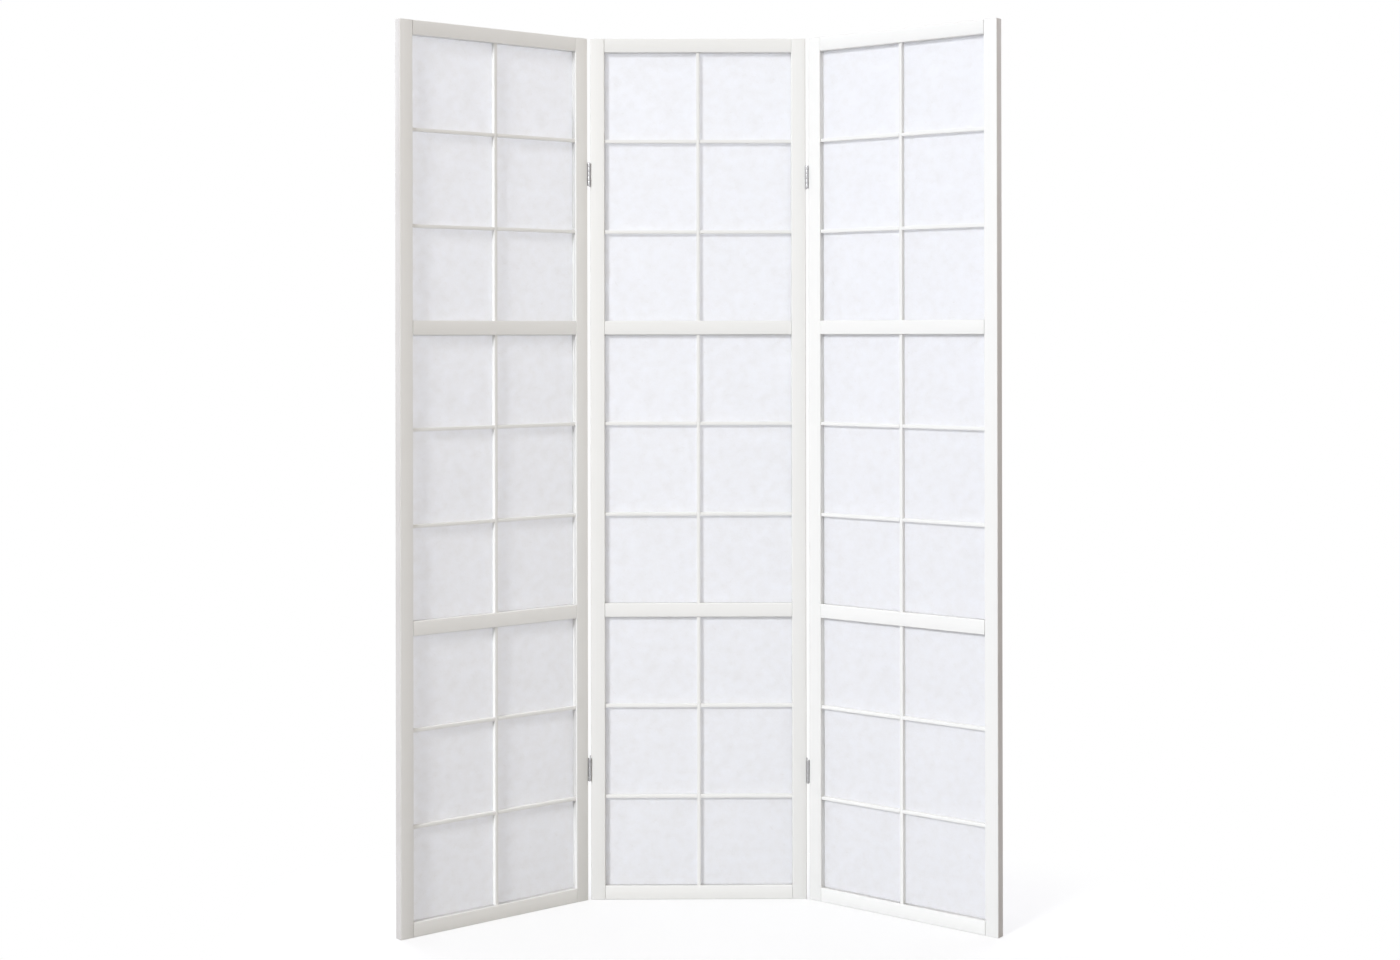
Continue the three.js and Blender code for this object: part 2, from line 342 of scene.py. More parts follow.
# %% Which edges are rounded
STILE_ENDS = (0.0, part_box("centre_left_stile")[1].z)
AT_END = 0.1 * MM
SHORTEST_ARRIS = 30 * MM
BAR_ROUNDING, STICK_ROUNDING = 0.45 * MM, 0.6 * MM


def bend(edge):
    """The angle in degrees by which the faces of an edge turn, and 0 on an open edge."""
    return degrees(edge.calc_face_angle(0))


def on_frame_bar(edge):
    """The corners of a stile or rail, already cut at 45 degrees, and the rims of a stile's ends."""
    heights = [vertex.co.z for vertex in edge.verts]
    at_end = any(all(abs(z - end) < AT_END for z in heights) for end in STILE_ENDS)
    arris = 40 < bend(edge) < 50 and edge.calc_length() > SHORTEST_ARRIS
    return arris or (at_end and bend(edge) > 80)


def on_stick(edge):
    """The long square corners of a lattice stick, and not those of its laps."""
    return bend(edge) > 80 and edge.calc_length() > SHORTEST_ARRIS


# %% Round every frame piece
node_body = {name: body for body, names in bodies.items() for name in names}
wood_nodes = [
    part["node"] for part in frame["record"]["subparts"] if part["material_slot"] == "painted_wood"
]
wood = {}
for name in wood_nodes:
    piece = merged_copy(name, name + "_planed")
    wanted, width = (on_stick, STICK_ROUNDING) if "stick" in name else (on_frame_bar, BAR_ROUNDING)
    rounded = bevel_where(piece, wanted, width, segments=2, clamp=True)
    bpy.ops.object.shade_smooth_by_angle(angle=SMOOTH_BELOW)
    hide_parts(name)
    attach(piece, node_body[name])
    wood[name] = piece
    if name.startswith("centre"):
        print(f"{name}: {rounded} edges rounded, {len(piece.data.polygons)} faces")

# %% [markdown]
# ## Painted wood
# A sprayed and brushed satin white. Up close it is not one white: the paint lies in faint ridges
# along the piece, as brush and pine grain leave them, with a fine stipple over them. The rubbed
# arrises are a touch creamier. The narrow side faces get a painted shade: they are greyer, more in
# some places than in others. The ridges must run along each piece, so the coordinates are turned
# to the panel before they are stretched, and the level and the upright pieces of a panel get a material each.

# %% Coordinates of a panel
def panel_coordinates(nodes, links, panel):
    """Object coordinates, and the same taken back from the panel's place to the centre panel's."""
    place = node(nodes, "TexCoord")
    back = places[panel].inverted().to_translation()
    own = node(nodes, "Mapping", {"Location": back, "Rotation": (0, 0, -turns[panel])})
    links.new(place.outputs["Object"], own.inputs["Vector"])
    return place, own


# %% Where the paint is worn, and where shade is painted on the side faces
# The side faces lie 224 mm from a panel's middle, and their painted shade starts on their arrises.
SIDE_STARTS = 222.8 * MM
SIDE_FULL = SIDE_STARTS + 1 * MM


def worn_arrises(nodes, links, place, drift, panel):
    """Rubbing, here and there along an arris, which is where the normal leaves the panel's axes."""
    facing = node(nodes, "Mapping", {"Rotation": (0, 0, -turns[panel])}, vector_type="NORMAL")
    size = node(nodes, "VectorMath", operation="ABSOLUTE")
    split = node(nodes, "SeparateXYZ")
    xy = node(nodes, "Math", operation="MAXIMUM")
    xyz = node(nodes, "Math", operation="MAXIMUM")
    arris = node(nodes, "MapRange", {"From Min": 0.985, "From Max": 0.80, "To Min": 0, "To Max": 1})
    rubbed = node(nodes, "MapRange", {"From Min": 0.45, "From Max": 0.75, "To Min": 0, "To Max": 0.8})
    worn = node(nodes, "Math", operation="MULTIPLY")
    links.new(place.outputs["Normal"], facing.inputs["Vector"])
    links.new(facing.outputs[0], size.inputs[0])
    links.new(size.outputs[0], split.inputs[0])
    links.new(split.outputs["X"], xy.inputs[0])
    links.new(split.outputs["Y"], xy.inputs[1])
    links.new(xy.outputs[0], xyz.inputs[0])
    links.new(split.outputs["Z"], xyz.inputs[1])
    links.new(xyz.outputs[0], arris.inputs["Value"])
    links.new(drift.outputs["Fac"], rubbed.inputs["Value"])
    links.new(arris.outputs["Result"], worn.inputs[0])
    links.new(rubbed.outputs["Result"], worn.inputs[1])
    return worn


def painted_side_shade(nodes, links, turned, drift):
    """Painted shade on the narrow side faces of a panel, darker in some places than in others."""
    own = node(nodes, "SeparateXYZ")
    out = node(nodes, "Math", operation="ABSOLUTE")
    edge = node(nodes, "MapRange", {"From Min": SIDE_STARTS, "From Max": SIDE_FULL})
    side_shade_drift = node(nodes, "MapRange", {"From Min": 0.35, "From Max": 0.65, "To Min": 0.7, "To Max": 0.9})
    side_shade_mask = node(nodes, "Math", operation="MULTIPLY")
    links.new(turned.outputs[0], own.inputs[0])
    links.new(own.outputs["X"], out.inputs[0])
    links.new(out.outputs[0], edge.inputs["Value"])
    links.new(drift.outputs["Fac"], side_shade_drift.inputs["Value"])
    links.new(edge.outputs["Result"], side_shade_mask.inputs[0])
    links.new(side_shade_drift.outputs["Result"], side_shade_mask.inputs[1])
    return side_shade_mask


# %% Painted wood material
PAINT = (0.868, 0.862, 0.842, 1)
PAINT_THIN = (0.842, 0.826, 0.786, 1)
# Painted shade: the grey that the narrow side faces are darkened towards.
PAINT_SIDE_SHADE = (0.61, 0.58, 0.555, 1)
GRAIN_LENGTH = 110 * MM
GRAIN_WIDTH = 1.3 * MM


def painted_wood(name, along, panel):
    """Satin paint whose ridges run along one axis of the panel: 0 is X and 2 is Z."""
    material, nodes, links = new_material(name)
    place, turned = panel_coordinates(nodes, links, panel)
    stretch = [1 / GRAIN_WIDTH] * 3
    stretch[along] = 1 / GRAIN_LENGTH
    drawn = node(nodes, "VectorMath", operation="MULTIPLY")
    drawn.inputs[1].default_value = stretch
    links.new(turned.outputs[0], drawn.inputs[0])

    ridges = node(nodes, "TexNoise", {"Scale": 1, "Detail": 4, "Roughness": 0.6, "Distortion": 0.3})
    links.new(drawn.outputs[0], ridges.inputs["Vector"])
    stipple = node(nodes, "TexNoise", {"Scale": 850, "Detail": 2, "Roughness": 0.5})
    drift = node(nodes, "TexNoise", {"Scale": 5, "Detail": 3, "Roughness": 0.55})
    for texture in (stipple, drift):
        links.new(turned.outputs[0], texture.inputs["Vector"])
    worn = worn_arrises(nodes, links, place, drift, panel)
    side_shade_mask = painted_side_shade(nodes, links, turned, drift)

    # Colour: full paint, a little thinner in some ridges and on worn arrises.
    thin = node(nodes, "MapRange", {"From Min": 0.3, "From Max": 0.8, "To Min": 0, "To Max": 0.35})
    mixed = node(nodes, "Math", operation="ADD", use_clamp=True)
    colour = node(nodes, "Mix", data_type="RGBA")
    colour.inputs["A"].default_value = PAINT
    colour.inputs["B"].default_value = PAINT_THIN
    links.new(ridges.outputs["Fac"], thin.inputs["Value"])
    links.new(thin.outputs["Result"], mixed.inputs[0])
    links.new(worn.outputs[0], mixed.inputs[1])
    links.new(mixed.outputs[0], colour.inputs["Factor"])
    # Painted shade: the narrow side faces are mixed towards a darker grey.
    side_shaded = node(nodes, "Mix", data_type="RGBA")
    side_shaded.inputs["B"].default_value = PAINT_SIDE_SHADE
    links.new(side_shade_mask.outputs[0], side_shaded.inputs["Factor"])
    links.new(colour.outputs["Result"], side_shaded.inputs["A"])

    # Sheen and relief.
    gloss = node(nodes, "MapRange", {"From Min": 0.25, "From Max": 0.75, "To Min": 0.36, "To Max": 0.52})
    grain = node(nodes, "Bump", {"Strength": 0.35, "Distance": 0.05 * MM})
    spray = node(nodes, "Bump", {"Strength": 0.3, "Distance": 0.03 * MM})
    paint = node(nodes, "BsdfPrincipled", {"Specular IOR Level": 0.35})
    links.new(ridges.outputs["Fac"], gloss.inputs["Value"])
    links.new(ridges.outputs["Fac"], grain.inputs["Height"])
    links.new(stipple.outputs["Fac"], spray.inputs["Height"])
    links.new(grain.outputs[0], spray.inputs["Normal"])
    links.new(side_shaded.outputs["Result"], paint.inputs["Base Color"])
    links.new(gloss.outputs["Result"], paint.inputs["Roughness"])
    links.new(spray.outputs[0], paint.inputs["Normal"])
    links.new(paint.outputs[0], node(nodes, "OutputMaterial").inputs["Surface"])
    return material


# %% Give each piece the paint that runs its way
level_paint = {panel: painted_wood(f"paint_level_{panel}", 0, panel) for panel in PANELS}
upright_paint = {panel: painted_wood(f"paint_upright_{panel}", 2, panel) for panel in PANELS}
for name, piece in wood.items():
    panel = next(panel for panel in PANELS if name.startswith(panel))
    upright = "stile" in name or "upright" in name
    piece.data.materials.append((upright_paint if upright else level_paint)[panel])
print("paint:", len(level_paint) + len(upright_paint), "materials on", len(wood), "pieces")

# %% [markdown]
# ## Shoji paper
# Each window has one sheet behind its lattice, glued to the sticks and let into a fine groove in
# the frame. Paper that has dried taut is never quite flat: between the sticks it lies back by up
# to three quarters of a millimetre, more in one place and less in another. A grid with a rule for
# how far each point lies back is enough for this, and quicker to steer than a cloth simulation.
# Solidify then makes it a closed sheet. Light passes its front face and its back face, and each
# face throws part of it back: of what falls on the sheet, some 55% returns and 39% goes through.

# %% Paper sheet
SHEET_WIDTH = 395 * MM
SHEET_HEIGHT = 564.67 * MM
SHEET_FRONT = 3.8 * MM
SHEET_THICKNESS = 0.5 * MM
WINDOW_HALF_WIDTH = 194.5 * MM
GROOVE_DEPTH = 3 * MM
STICK_HALF = 3.5 * MM
DEEPEST = 0.75 * MM
WAVE_ACROSS, WAVE_UP = 90 * MM, 130 * MM
MESH_STEP = 6 * MM


def between(value, supports):
    """From 0 on a support to 1 half way between two, and the number of the space between them."""
    for number, (low, high) in enumerate(zip(supports, supports[1:])):
        if low + STICK_HALF < value < high - STICK_HALF:
            share = (value - low - STICK_HALF) / (high - low - 2 * STICK_HALF)
            return sin(pi * share) ** 0.7, number
    return 0.0, 0


def paper_sheet(name, window_nodes, seed):
    """A sheet at the centre panel, front at SHEET_FRONT, lying back between the sticks."""
    sheet_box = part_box(window_nodes["paper"])
    sticks = [sum(corner.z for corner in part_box(stick)) / 2 for stick in window_nodes["sticks"]]
    low = sheet_box[0].z + GROOVE_DEPTH - STICK_HALF
    high = sheet_box[1].z - GROOVE_DEPTH + STICK_HALF
    levels = [low, *sorted(sticks), high]
    columns = [-WINDOW_HALF_WIDTH - STICK_HALF, 0, WINDOW_HALF_WIDTH + STICK_HALF]
    middle = (sheet_box[0].z + sheet_box[1].z) / 2
    bpy.ops.object.select_all(action="DESELECT")
    bpy.ops.mesh.primitive_grid_add(
        x_subdivisions=round(SHEET_WIDTH / MESH_STEP), y_subdivisions=round(SHEET_HEIGHT / MESH_STEP),
        size=1, location=(0, SHEET_FRONT, middle), rotation=(pi / 2, 0, 0),
    )
    sheet = bpy.context.object
    sheet.name = name
    sheet.scale = (SHEET_WIDTH, SHEET_HEIGHT, 1)
    bpy.ops.object.transform_apply()
    for point in sheet.data.vertices:
        across, column = between(point.co.x, columns)
        up, level = between(point.co.z, levels)
        # Each space between the sticks has broad waves of its own, with finer ones on them.
        patch = seed * 3.1 + column * 7 + level * 13
        spot = Vector((point.co.x / WAVE_ACROSS, patch, point.co.z / WAVE_UP))
        slack = 0.5 + 0.5 * noise.noise(spot) + 0.18 * noise.noise(spot * 3.3)
        point.co.y += DEEPEST * across * up * min(max(slack, 0.08), 1)
    only(sheet)
    solid = sheet.modifiers.new("thickness", "SOLIDIFY")
    solid.thickness = SHEET_THICKNESS
    solid.offset = -1
    bpy.ops.object.modifier_apply(modifier="thickness")
    bpy.ops.object.shade_smooth_by_angle(angle=SMOOTH_BELOW)
    return sheet


# %% Fibres in the paper
# Degrees off level, and how long and how wide the waves are whose level lines are the fibres.
FIBRE_LAYERS = ((8, 16 * MM, 3.0 * MM), (64, 13 * MM, 2.4 * MM), (-47, 19 * MM, 3.4 * MM))
WAVE_DEPTH = 25 * MM


def long_fibres(nodes, links, turned):
    """The level lines of a stretched noise, in three directions, broken by a mask."""
    fibres = None
    for number, (angle, long, narrow) in enumerate(FIBRE_LAYERS):
        lie = node(nodes, "Mapping", {"Rotation": (0, radians(angle), 0), "Location": (number, 0, 0)})
        stretch = node(nodes, "VectorMath", operation="MULTIPLY")
        stretch.inputs[1].default_value = (1 / long, 1 / WAVE_DEPTH, 1 / narrow)
        lines = node(nodes, "TexNoise", {"Scale": 1, "Detail": 1, "Roughness": 0.4, "Distortion": 0.6})
        off = node(nodes, "Math", {1: 0.5}, operation="SUBTRACT")
        near = node(nodes, "Math", operation="ABSOLUTE")
        line = node(nodes, "MapRange", {"From Min": 0.012, "From Max": 0.002, "To Min": 0, "To Max": 1})
        mask = node(nodes, "TexNoise", {"Scale": 70, "Detail": 1})
        shown = node(nodes, "MapRange", {"From Min": 0.50, "From Max": 0.62, "To Min": 0, "To Max": 1})
        fibre = node(nodes, "Math", operation="MULTIPLY")
        links.new(turned.outputs[0], lie.inputs["Vector"])
        links.new(lie.outputs[0], stretch.inputs[0])
        links.new(stretch.outputs[0], lines.inputs["Vector"])
        links.new(lines.outputs["Fac"], off.inputs[0])
        links.new(off.outputs[0], near.inputs[0])
        links.new(near.outputs[0], line.inputs["Value"])
        links.new(lie.outputs[0], mask.inputs["Vector"])
        links.new(mask.outputs["Fac"], shown.inputs["Value"])
        links.new(line.outputs["Result"], fibre.inputs[0])
        links.new(shown.outputs["Result"], fibre.inputs[1])
        if fibres is None:
            fibres = fibre
        else:
            both = node(nodes, "Math", operation="MAXIMUM")
            links.new(fibres.outputs[0], both.inputs[0])
            links.new(fibre.outputs[0], both.inputs[1])
            fibres = both
    return fibres


# %% Shoji paper material
FIBRE_WHITE = (0.972, 0.974, 0.982, 1)
THROUGH = (0.966, 0.97, 0.978, 1)
THICK_PULP = (0.925, 0.92, 0.912, 1)
THROUGH_THICK_PULP = (0.87, 0.86, 0.842, 1)
SHARE_THROUGH_FACE = 0.591
FIBRE_WEIGHT = 0.6


def shoji_paper(name, panel):
    """Each face passes SHARE_THROUGH_FACE of the light, a little less where pulp lies thick."""
    material, nodes, links = new_material(name)
    place, turned = panel_coordinates(nodes, links, panel)
    fibres = long_fibres(nodes, links, turned)

    # How thick the pulp lies here, from 0 to 1: fibres on clouds a couple of centimetres across.
    clouds = node(nodes, "TexNoise", {"Scale": 55, "Detail": 5, "Roughness": 0.6})
    cloudy = node(nodes, "MapRange", {"From Min": 0.3, "From Max": 0.7, "To Min": 0, "To Max": 0.55})
    pulp = node(nodes, "Math", {1: FIBRE_WEIGHT}, operation="MULTIPLY_ADD", use_clamp=True)
    links.new(turned.outputs[0], clouds.inputs["Vector"])
    links.new(clouds.outputs["Fac"], cloudy.inputs["Value"])
    links.new(fibres.outputs[0], pulp.inputs[0])
    links.new(cloudy.outputs["Result"], pulp.inputs[2])
    front = node(nodes, "Mix", data_type="RGBA")
    front.inputs["A"].default_value = FIBRE_WHITE
    front.inputs["B"].default_value = THICK_PULP
    through = node(nodes, "Mix", data_type="RGBA")
    through.inputs["A"].default_value = THROUGH
    through.inputs["B"].default_value = THROUGH_THICK_PULP
    links.new(pulp.outputs[0], front.inputs["Factor"])
    links.new(pulp.outputs[0], through.inputs["Factor"])

    tooth = node(nodes, "Bump", {"Strength": 0.5, "Distance": 0.04 * MM})
    links.new(pulp.outputs[0], tooth.inputs["Height"])
    back = node(nodes, "BsdfDiffuse", {"Roughness": 0})
    glow = node(nodes, "BsdfTranslucent")
    links.new(front.outputs["Result"], back.inputs["Color"])
    links.new(through.outputs["Result"], glow.inputs["Color"])
    links.new(tooth.outputs[0], back.inputs["Normal"])
    paper = node(nodes, "MixShader", {"Fac": SHARE_THROUGH_FACE})
    links.new(back.outputs[0], paper.inputs[1])
    links.new(glow.outputs[0], paper.inputs[2])
    links.new(paper.outputs[0], node(nodes, "OutputMaterial").inputs["Surface"])
    return material


# %% Nine sheets
WINDOWS = ("upper", "middle", "lower")
papers = {panel: shoji_paper(f"paper_{panel}", panel) for panel in PANELS}
for number, panel in enumerate(PANELS):
    for level, window in enumerate(WINDOWS):
        names = {
            "paper": f"centre_{window}_paper",
            "sticks": [f"centre_{window}_cross_stick_{stick}" for stick in (1, 2)],
        }
        sheet = paper_sheet(f"{panel}_{window}_paper_sheet", names, seed=3 * number + level)
        sheet.data.transform(places[panel])
        sheet.data.materials.append(papers[panel])
        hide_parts(f"{panel}_{window}_paper")
        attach(sheet, PANELS[panel])
print("paper:", len(sheet.data.polygons), "faces in a sheet")

# %% [markdown]
# ## Two-way hinges
# Each joint has two steel hinges that fold both ways. One leaf is screwed to the wing's edge and
# has its pin in front; the other is screwed to the centre panel's edge and has its pin behind; a
# link plate through the gap holds both pins. Seen from the front only the barrels show, so these
# get most care: round knuckles with broken rims, and pins with domed ends. Everything is modelled
# for the right joint about the middle of its gap, and mirrored for the left one. Each small part
# is rounded first and then joined by an exact boolean, which leaves clean edges.

# %% Hinge sizes
JOINT_X = 226.1 * MM
PIN_X, PIN_Y = 0.65 * MM, 12.2 * MM
PIN_RADIUS, BORE_RADIUS, BARREL_RADIUS = 1.4 * MM, 1.49 * MM, 2.5 * MM
HINGE_HALF = 24 * MM
PIN_HEAD = 0.6 * MM
PLATE_HALF = 0.5 * MM
LEAF_X, LEAF_HALF_Y, LINK_HALF_Y = 1.3 * MM, 8.7 * MM, 9.3 * MM
LEAF_TO_WOOD = 0.28 * MM
LEAF_CORNER, LINK_CORNER = 1.6 * MM, 1.2 * MM
PLATE_RIM, BARREL_RIM, PIN_DOME = 0.12 * MM, 0.3 * MM, 0.55 * MM
HOLE_RADIUS, SINK_RADIUS, SINK_LEAD = 1.6 * MM, 2.55 * MM, 0.3
KNUCKLE_GAP = 0.4 * MM
KNUCKLE = (2 * HINGE_HALF - 4 * KNUCKLE_GAP) / 5
SCREW_HEIGHTS = (-17 * MM, 0, 17 * MM)
knuckle_middles = [-HINGE_HALF + KNUCKLE / 2 + step * (KNUCKLE + KNUCKLE_GAP) for step in range(5)]
print("knuckles at", [round(z / MM, 2) for z in knuckle_middles], "mm")


# %% Small steel parts
STEEL_SMOOTH_BELOW = radians(38)
ROUND_SIDES = 40


def crisp(edge):
    """Any edge but the shallow ones between the sides of a round part."""
    return bend(edge) > 40


def along_x(edge):
    """An edge through the thickness of a plate, where the rounding of its corners goes."""
    ends = [vertex.co for vertex in edge.verts]
    return abs(ends[0].x - ends[1].x) > 0.9 * edge.calc_length()


def plate(low, high, corner=0.0):
    """A rectangular plate between two corners, with rounded corners and slightly broken rims."""
    low, high = Vector(low), Vector(high)
    bpy.ops.object.select_all(action="DESELECT")
    bpy.ops.mesh.primitive_cube_add(size=1, location=(low + high) / 2, scale=high - low)
    made = bpy.context.object
    bpy.ops.object.transform_apply()
    if corner:
        bevel_where(made, along_x, corner, 5)
    bevel_where(made, crisp, PLATE_RIM, 2)
    return made


def rod(middle, radius, length, rim=0.0, rim_segments=3):
    """An upright round bar whose rims are rounded by rim."""
    bpy.ops.object.select_all(action="DESELECT")
    bpy.ops.mesh.primitive_cylinder_add(
        vertices=ROUND_SIDES, radius=radius, depth=length, location=middle,
    )
    made = bpy.context.object
    bpy.ops.object.transform_apply()
    if rim:
        bevel_where(made, crisp, rim, rim_segments)
    return made


def cone_along_x(start, end, start_radius, end_radius):
    """A round cutter from start to end along X, straight or tapered."""
    bpy.ops.object.select_all(action="DESELECT")
    bpy.ops.mesh.primitive_cone_add(
        vertices=ROUND_SIDES, radius1=start_radius, radius2=end_radius, depth=(end - start).length,
        location=(start + end) / 2, rotation=(end - start).to_track_quat("Z", "Y").to_euler(),
    )
    bpy.ops.object.transform_apply()
    return bpy.context.object


def boolean(piece, others, operation):
    """Joins the others to the piece or cuts them out of it, one after another."""
    for other in others:
        only(piece)
        step = piece.modifiers.new("step", "BOOLEAN")
        step.operation = operation
        step.solver = "EXACT"
        step.object = other
        bpy.ops.object.modifier_apply(modifier="step")
        bpy.data.objects.remove(other)
    return piece


def finished(piece, name):
    """Merges what the booleans left double, turns faces outwards and shades them."""
    only(piece)
    piece.name = name
    bpy.ops.object.mode_set(mode="EDIT")
    bpy.ops.mesh.select_all(action="SELECT")
    bpy.ops.mesh.remove_doubles(threshold=0.001 * MM)
    bpy.ops.mesh.dissolve_degenerate(threshold=0.001 * MM)
    bpy.ops.mesh.normals_make_consistent(inside=False)
    shape = bmesh.from_edit_mesh(piece.data)
    print(name, "open edges:", sum(not edge.is_manifold for edge in shape.edges))
    bpy.ops.object.mode_set(mode="OBJECT")
    bpy.ops.object.shade_smooth_by_angle(angle=STEEL_SMOOTH_BELOW)
    return piece


# %% Leaves
def leaf(name, front):
    """A leaf of the right joint: on the wing with its pin in front, or on the centre panel."""
    way = 1 if front else -1  # the wing is on the +X side of the gap
    pin_y = -PIN_Y if front else PIN_Y
    inside, outside = way * (LEAF_X - PLATE_HALF), way * (LEAF_X + PLATE_HALF + LEAF_TO_WOOD)
    xs = sorted((inside, outside))
    body = plate((xs[0], -LEAF_HALF_Y, -HINGE_HALF), (xs[1], LEAF_HALF_Y, HINGE_HALF), LEAF_CORNER)
    parts = []
    for z in knuckle_middles[0::2]:
        ys = sorted((0, pin_y))
        tongue_x = sorted((inside, way * (LEAF_X + PLATE_HALF)))
        low, high = z - KNUCKLE / 2, z + KNUCKLE / 2
        parts.append(plate((tongue_x[0], ys[0], low), (tongue_x[1], ys[1], high)))
        parts.append(rod((way * PIN_X, pin_y, z), BARREL_RADIUS, KNUCKLE, BARREL_RIM))
    boolean(body, parts, "UNION")
    cuts = [rod((way * PIN_X, pin_y, 0), BORE_RADIUS, 3 * HINGE_HALF)]
    for z in SCREW_HEIGHTS:
        face = Vector((inside, 0, z))
        into = Vector((way, 0, 0))
        cuts.append(cone_along_x(face - into * MM, face + 3 * into * MM, HOLE_RADIUS, HOLE_RADIUS))
        # The countersink is a cone of 45 degrees that starts a little in front of the face.
        start, end = face - SINK_LEAD * into * MM, face + (SINK_RADIUS - HOLE_RADIUS) * into
        cuts.append(cone_along_x(start, end, SINK_RADIUS + SINK_LEAD * MM, HOLE_RADIUS))
    boolean(body, cuts, "DIFFERENCE")
    return finished(body, name)


outer_leaf = leaf("outer_leaf_model", front=True)
inner_leaf = leaf("inner_leaf_model", front=False)
print("leaf:", len(outer_leaf.data.polygons), "faces")


# %% Link with its two pins
# A tongue is a hair thinner and lower than what it joins, since faces in one plane upset a boolean.
TONGUE_HALF = PLATE_HALF - 0.01 * MM
TONGUE_UP = KNUCKLE / 2 - 0.05 * MM
TONGUE_ROOT = LINK_HALF_Y - 1 * MM


def link(name):
    """A plate with a pin at each side and two knuckles on each, tied to the plate by tongues."""
    corner = Vector((PLATE_HALF, LINK_HALF_Y, HINGE_HALF))
    body = plate(-corner, corner, LINK_CORNER)
    for way in (1, -1):
        pin_x, pin_y = way * PIN_X, -way * PIN_Y
        back, front = sorted((-way * TONGUE_ROOT, pin_y))
        pin = rod((pin_x, pin_y, 0), PIN_RADIUS, 2 * (HINGE_HALF + PIN_HEAD), PIN_DOME, rim_segments=5)
        parts = []
        for z in knuckle_middles[1::2]:
            parts.append(rod((pin_x, pin_y, z), BARREL_RADIUS, KNUCKLE, BARREL_RIM))
            parts.append(plate((-TONGUE_HALF, back, z - TONGUE_UP), (TONGUE_HALF, front, z + TONGUE_UP)))
        boolean(body, [boolean(pin, parts, "UNION")], "UNION")
    return finished(body, name)


link_model = link("link_model")
print("link:", len(link_model.data.polygons), "faces")


# %% Countersunk screw
# Places along the screw and radii in millimetres: domed head, countersink, shank and point.
SCREW_PROFILE = (
    (-0.12, 0.0), (-0.10, 0.9), (-0.04, 1.75), (0.04, 2.32), (0.14, 2.42), (0.95, 1.55),
    (1.2, 1.42), (8.4, 1.3), (10.4, 0.0),
)
RECESS_HALF_WIDTH, RECESS_HALF_SPAN, RECESS_DEPTH, RECESS_TAPER = 0.38, 1.35, 0.85, 0.55


def screw(name):
    """Head at x = 0 facing -X, point towards +X: a turned profile with a cross recess."""
    bpy.ops.object.select_all(action="DESELECT")
    bpy.ops.mesh.primitive_plane_add(size=1 * MM)
    made = bpy.context.object
    bpy.ops.object.mode_set(mode="EDIT")
    shape = bmesh.from_edit_mesh(made.data)
    bmesh.ops.delete(shape, geom=shape.verts[:], context="VERTS")
    points = [shape.verts.new((x * MM, 0, radius * MM)) for x, radius in SCREW_PROFILE]
    for first, second in zip(points, points[1:]):
        shape.edges.new((first, second))
    bmesh.update_edit_mesh(made.data)
    bpy.ops.mesh.select_all(action="SELECT")
    bpy.ops.mesh.spin(steps=32, angle=2 * pi, center=(0, 0, 0), axis=(1, 0, 0))
    bpy.ops.mesh.select_all(action="SELECT")
    bpy.ops.mesh.remove_doubles(threshold=0.002 * MM)
    bpy.ops.mesh.normals_make_consistent(inside=False)
    bpy.ops.object.mode_set(mode="OBJECT")
    arms = []
    upright = (RECESS_HALF_WIDTH, RECESS_HALF_SPAN)
    for half_y, half_z in (upright, upright[::-1]):
        arm = plate((-1 * MM, -half_y * MM, -half_z * MM), (RECESS_DEPTH * MM, half_y * MM, half_z * MM))
        for point in arm.data.vertices:
            if point.co.x > 0:
                point.co.y *= RECESS_TAPER
                point.co.z *= RECESS_TAPER
        arms.append(arm)
    return finished(boolean(made, arms, "DIFFERENCE"), name)


screw_model = screw("screw_model")
print("screw:", len(screw_model.data.polygons), "faces")

# %% [markdown]
# ## Hinge steel
# Bright zinc-plated steel, brushed along the strip it was stamped from. The brushing is a fine
# relief stretched along the height of the hinge, and duller patches lie here and there on the zinc.

# %% Hinge steel material
STEEL_BRIGHT = (0.66, 0.665, 0.68, 1)
STEEL_DULL = (0.52, 0.515, 0.51, 1)
BRUSH_WIDTH, BRUSH_LENGTH = 0.12 * MM, 9 * MM


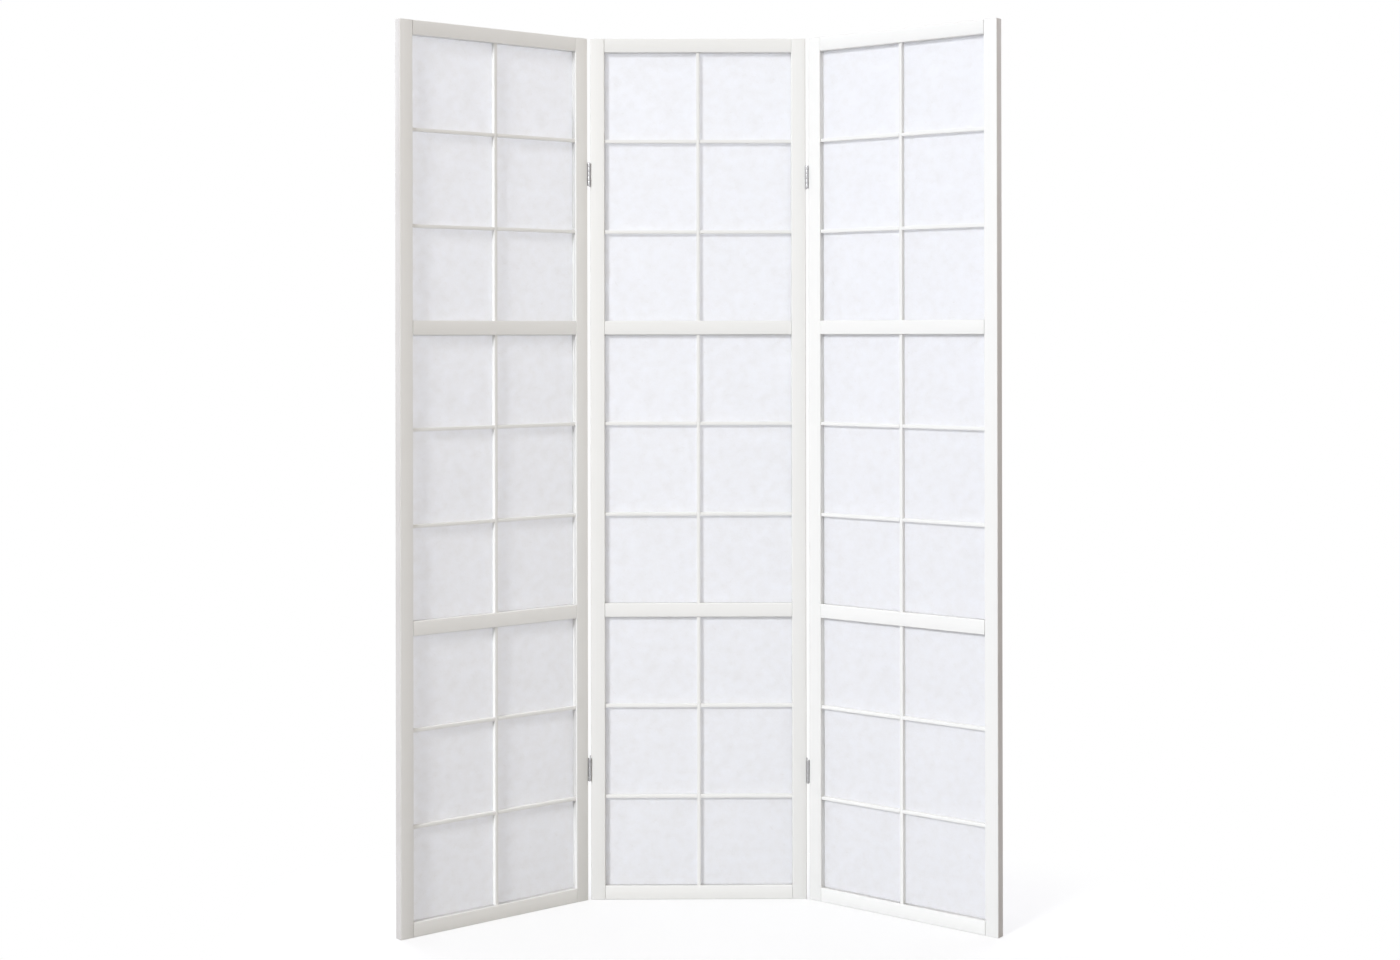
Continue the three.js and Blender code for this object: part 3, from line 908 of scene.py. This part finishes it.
def hinge_steel():
    """Plated steel with upright brush marks and dull patches."""
    material, nodes, links = new_material("hinge_steel")
    place = node(nodes, "TexCoord")
    drawn = node(nodes, "VectorMath", operation="MULTIPLY")
    drawn.inputs[1].default_value = (1 / BRUSH_WIDTH, 1 / BRUSH_WIDTH, 1 / BRUSH_LENGTH)
    brushing = node(nodes, "TexNoise", {"Scale": 1, "Detail": 3, "Roughness": 0.6})
    dulling = node(nodes, "TexNoise", {"Scale": 90, "Detail": 4, "Roughness": 0.6})
    relief = node(nodes, "Bump", {"Strength": 0.3, "Distance": 0.01 * MM})
    rough = node(nodes, "MapRange", {"From Min": 0.3, "From Max": 0.75, "To Min": 0.26, "To Max": 0.5})
    colour = node(nodes, "Mix", data_type="RGBA")
    colour.inputs["A"].default_value = STEEL_BRIGHT
    colour.inputs["B"].default_value = STEEL_DULL
    steel = node(nodes, "BsdfPrincipled", {"Metallic": 1})
    links.new(place.outputs["Object"], drawn.inputs[0])
    links.new(drawn.outputs[0], brushing.inputs["Vector"])
    links.new(place.outputs["Object"], dulling.inputs["Vector"])
    links.new(brushing.outputs["Fac"], relief.inputs["Height"])
    links.new(dulling.outputs["Fac"], rough.inputs["Value"])
    links.new(dulling.outputs["Fac"], colour.inputs["Factor"])
    links.new(colour.outputs["Result"], steel.inputs["Base Color"])
    links.new(rough.outputs["Result"], steel.inputs["Roughness"])
    links.new(relief.outputs[0], steel.inputs["Normal"])
    links.new(steel.outputs[0], node(nodes, "OutputMaterial").inputs["Surface"])
    return material


steel = hinge_steel()


# %% Four hinges, and six screws in each
HEAD_SUNK = 0.12 * MM
# Degrees: no two screws in a row stop with their recesses the same way round.
FIRST_TURN, TURN_STEP = 37, 71


def set_hinge_piece(model, name, place, body, node_name=None):
    """A copy of a hinge part that rides on a body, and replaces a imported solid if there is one."""
    piece = copy_to(model, name, place)
    piece.data.materials.append(steel)
    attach(piece, body)
    if node_name:
        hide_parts(node_name)


screw_count = 0
for side, sign in SIDES.items():
    for level in ("upper", "lower"):
        hinge = f"{side}_{level}_hinge"
        low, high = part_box(hinge + "_link")
        height = (low.z + high.z) / 2
        mirror = Matrix.Diagonal((sign, 1, 1, 1))
        place = Matrix.Translation((sign * JOINT_X, 0, height)) @ mirror
        turned = wing_turn(side) @ place
        wing, middle = side + "_wing", "centre_panel"
        set_hinge_piece(outer_leaf, hinge + "_outer_leaf_steel", turned, wing, hinge + "_outer_leaf")
        set_hinge_piece(link_model, hinge + "_link_steel", place, side + "_link", hinge + "_link")
        set_hinge_piece(inner_leaf, hinge + "_inner_leaf_steel", place, middle, hinge + "_inner_leaf")
        for way, base, body in ((1, turned, wing), (-1, place, middle)):
            for number, z in enumerate(SCREW_HEIGHTS):
                spun = Matrix.Rotation(radians(FIRST_TURN + TURN_STEP * screw_count), 4, "X")
                seat = Matrix.Translation((way * (LEAF_X - PLATE_HALF + HEAD_SUNK), 0, z))
                facing = Matrix.Diagonal((way, 1, 1, 1))
                which = "outer" if way > 0 else "inner"
                name = f"{hinge}_{which}_screw_{number + 1}"
                set_hinge_piece(screw_model, name, base @ seat @ facing @ spun, body)
                screw_count += 1
for model in (outer_leaf, inner_leaf, link_model, screw_model):
    bpy.data.objects.remove(model)
print("screws:", screw_count)
